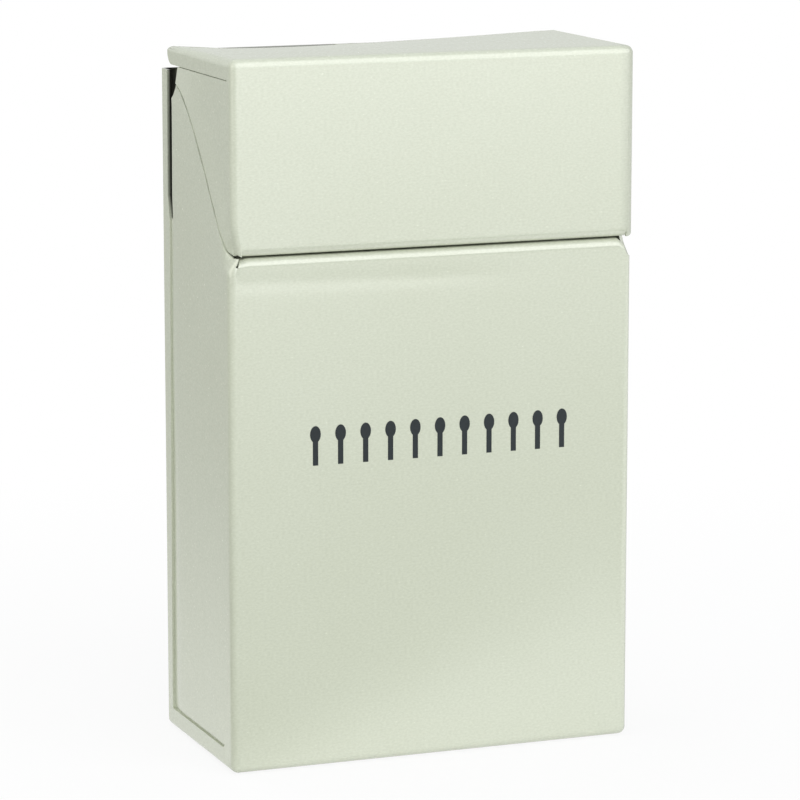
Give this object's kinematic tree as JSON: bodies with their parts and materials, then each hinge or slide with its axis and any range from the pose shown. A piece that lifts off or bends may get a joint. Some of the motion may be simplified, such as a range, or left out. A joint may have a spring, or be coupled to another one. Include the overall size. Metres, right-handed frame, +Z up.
{
  "type": "match holder",
  "caption": "Upright flip-top match holder of folded coated sheet steel, with a lid hinged at the rear top edge and a slanted joint on its sides.",
  "frame": {"origin": "middle of the base, on the surface the tin stands on", "axes": "+X to the right, +Y to the back (the front face looks along -Y), +Z up"},
  "size_m": [0.0757, 0.0376, 0.125],
  "materials": {
    "powder_coat": "satin powder coat, pale sage cream",
    "steel_wire": "plain drawn wire"
  },
  "bodies": {
    "body": {"body": "powder_coat", "hinge_pin": "steel_wire"},
    "lid": {"lid": "powder_coat"}
  },
  "joints": [
    {"name": "lid_hinge", "type": "hinge", "parent": "body", "child": "lid", "pos_m": [0, 0.01735, 0.1227], "axis": [-1, 0, 0], "range_deg": [0, 180]}
  ]
}
